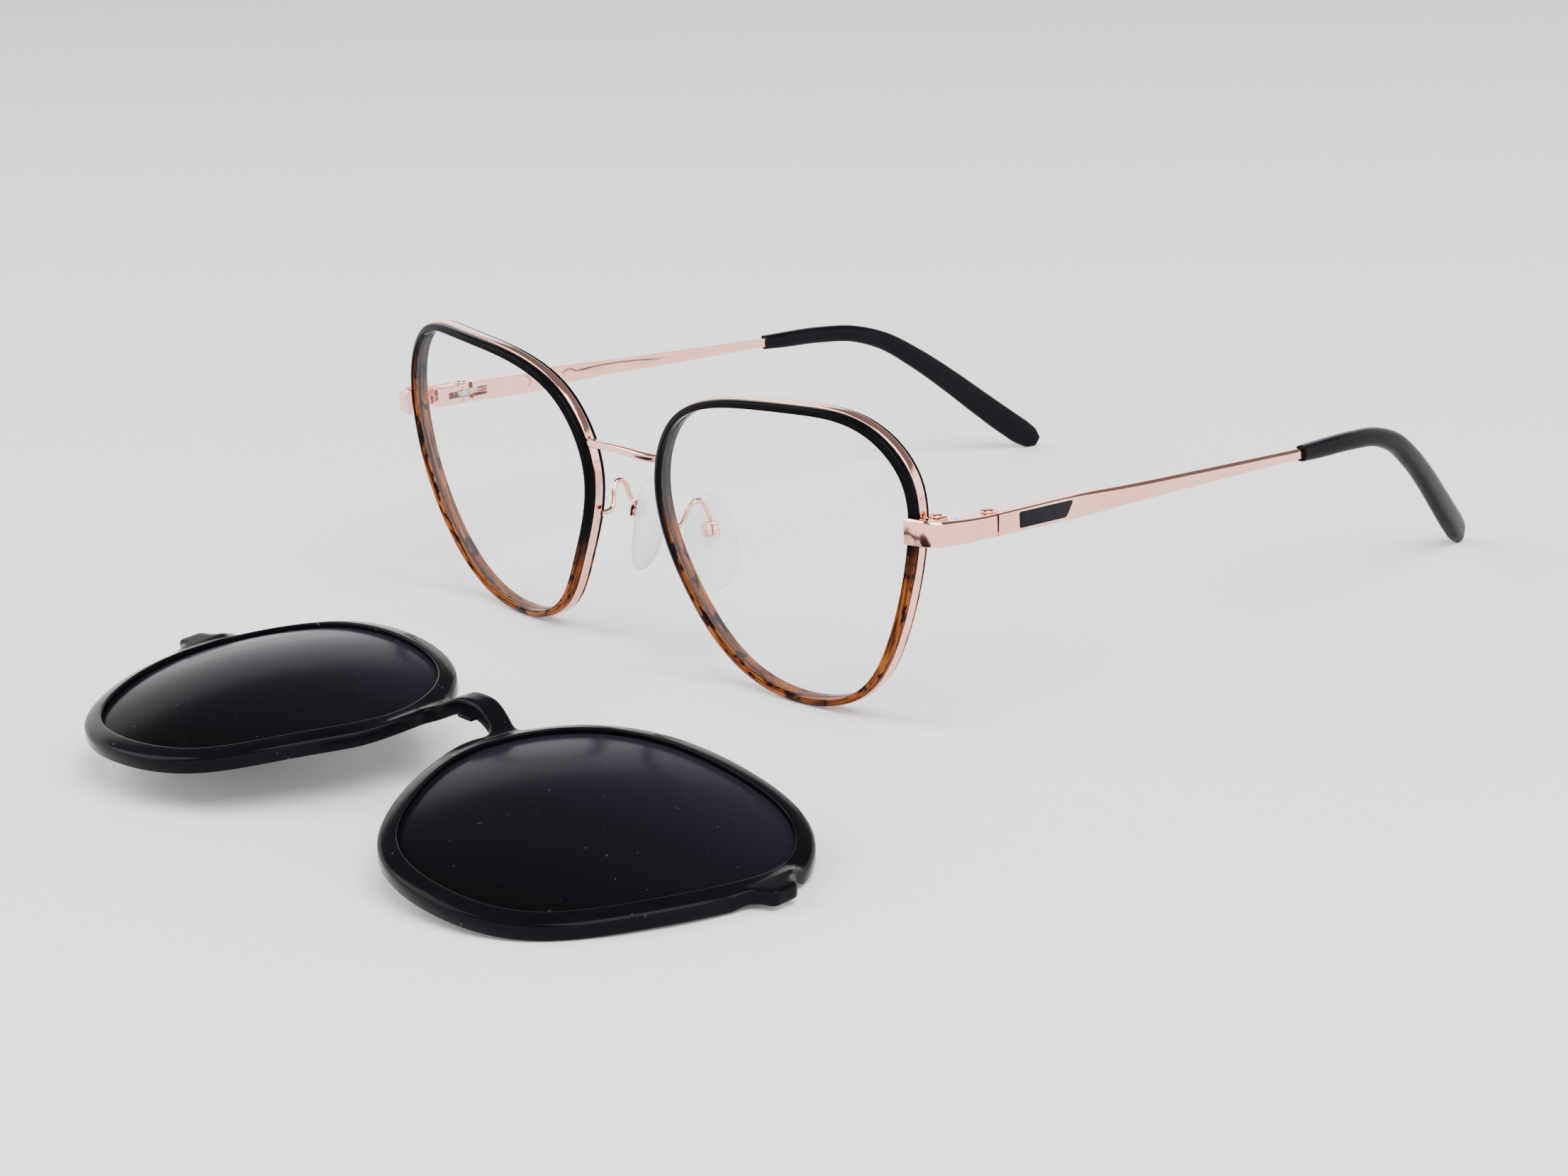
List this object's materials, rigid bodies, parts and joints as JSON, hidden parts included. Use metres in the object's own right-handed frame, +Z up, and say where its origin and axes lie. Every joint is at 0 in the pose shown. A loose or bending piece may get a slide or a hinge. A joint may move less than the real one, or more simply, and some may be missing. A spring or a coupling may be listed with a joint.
{
  "type": "spectacles with magnetic clip-on sun lenses",
  "caption": "Rimmed metal spectacles with sprung folding temples and adjustable nose pads, and a black magnetic clip-on front with dark lenses that docks on them.",
  "frame": {"origin": "middle of the footprint of the spectacles and the clip-on lying beside them, on the table", "axes": "+X to the wearer's left, +Y back along the open temples, +Z up"},
  "size_m": [0.164, 0.2222, 0.047],
  "materials": {
    "rose_gold": "polished rose gold plating",
    "rim_plastic": "polished, black over tortoise brown",
    "clear_lens": "clear, polished",
    "pad_silicone": "clear silicone",
    "black_enamel": "gloss black enamel",
    "tip_acetate": "satin black",
    "hinge_steel": "bare steel",
    "clip_plastic": "gloss black, moulded",
    "sun_lens": "dark grey tint, polished",
    "magnet": "nickel plated"
  },
  "bodies": {
    "root": {"bridge": "rose_gold", "left_eyewire": "rose_gold", "left_rim_insert": "rim_plastic", "left_lens": "clear_lens", "left_end_piece": "rose_gold", "left_rim_lock": "rose_gold", "left_rim_lock_screw": "rose_gold", "left_pad_arm": "rose_gold", "left_pad_box": "rose_gold", "left_pad_screw": "rose_gold", "left_frame_magnet": "magnet", "right_eyewire": "rose_gold", "right_rim_insert": "rim_plastic", "right_lens": "clear_lens", "right_end_piece": "rose_gold", "right_rim_lock": "rose_gold", "right_rim_lock_screw": "rose_gold", "right_pad_arm": "rose_gold", "right_pad_box": "rose_gold", "right_pad_screw": "rose_gold", "right_frame_magnet": "magnet"},
    "clip_magnet": {"clip_bridge_magnet": "magnet"},
    "clip_on": {"clip_front": "clip_plastic", "left_clip_lens": "sun_lens", "left_clip_magnet": "magnet", "right_clip_lens": "sun_lens", "right_clip_magnet": "magnet"},
    "left_hinge_pin": {"left_hinge_screw": "rose_gold"},
    "left_spring_slider": {"left_hinge_slider": "hinge_steel", "left_hinge_spring": "hinge_steel"},
    "left_temple": {"left_temple": "rose_gold", "left_temple_inlay": "black_enamel", "left_spring_pin": "rose_gold", "left_temple_tip": "tip_acetate"},
    "left_pad": {"left_nose_pad": "pad_silicone"},
    "right_hinge_pin": {"right_hinge_screw": "rose_gold"},
    "right_spring_slider": {"right_hinge_slider": "hinge_steel", "right_hinge_spring": "hinge_steel"},
    "right_temple": {"right_temple": "rose_gold", "right_temple_inlay": "black_enamel", "right_spring_pin": "rose_gold", "right_temple_tip": "tip_acetate"},
    "right_pad": {"right_nose_pad": "pad_silicone"}
  },
  "joints": [
    {"name": "left_temple_flex", "type": "hinge", "parent": "root", "child": "left_hinge_pin", "pos_m": [0.0492, -0.00776, 0.0302], "axis": [0, 0, -1], "range_deg": [0, 5], "stiffness_Nm_per_rad": 0.05},
    {"name": "left_temple_fold", "type": "hinge", "parent": "left_hinge_pin", "child": "left_spring_slider", "pos_m": [0.0492, -0.00776, 0.0302], "axis": [0, 0, 1], "range_deg": [0, 84]},
    {"name": "left_spring_travel", "type": "slide", "parent": "left_spring_slider", "child": "left_temple", "axis": [-0.0339, 0.9984, -0.0446], "range_m": [0, 0.0004], "deforming": ["left_hinge_spring"]},
    {"name": "left_pad_rock", "type": "hinge", "parent": "root", "child": "left_pad", "pos_m": [-0.00633, -0.01367, 0.02076], "axis": [0.3489, 0.9371, 0], "range_deg": [-12, 12]},
    {"name": "right_temple_flex", "type": "hinge", "parent": "root", "child": "right_hinge_pin", "pos_m": [-0.0798, -0.00776, 0.0302], "axis": [0, 0, 1], "range_deg": [0, 5], "stiffness_Nm_per_rad": 0.05},
    {"name": "right_temple_fold", "type": "hinge", "parent": "right_hinge_pin", "child": "right_spring_slider", "pos_m": [-0.0798, -0.00776, 0.0302], "axis": [0, 0, -1], "range_deg": [0, 70]},
    {"name": "right_spring_travel", "type": "slide", "parent": "right_spring_slider", "child": "right_temple", "axis": [0.0339, 0.9984, -0.0446], "range_m": [0, 0.0004], "deforming": ["right_hinge_spring"]},
    {"name": "right_pad_rock", "type": "hinge", "parent": "root", "child": "right_pad", "pos_m": [-0.02427, -0.01367, 0.02076], "axis": [-0.3489, 0.9371, 0], "range_deg": [-12, 12]},
    {"name": "clip_on_lift", "type": "slide", "parent": "root", "child": "clip_magnet", "axis": [-0.5309, 0.7508, 0.393], "range_m": [0, 0.0587]},
    {"name": "clip_on_turn", "type": "hinge", "parent": "clip_magnet", "child": "clip_on", "pos_m": [0.01586, -0.0728, 0.01205], "axis": [0.9987, -0.0045, -0.0515], "range_deg": [0, 89.95]}
  ],
  "couplings": [
    {"joint": "left_spring_travel", "follows": "left_temple_flex", "m_per_rad": 0.003},
    {"joint": "right_spring_travel", "follows": "right_temple_flex", "m_per_rad": 0.003},
    {"joint": "clip_on_turn", "follows": "clip_on_lift", "rad_per_m": 26.745}
  ]
}
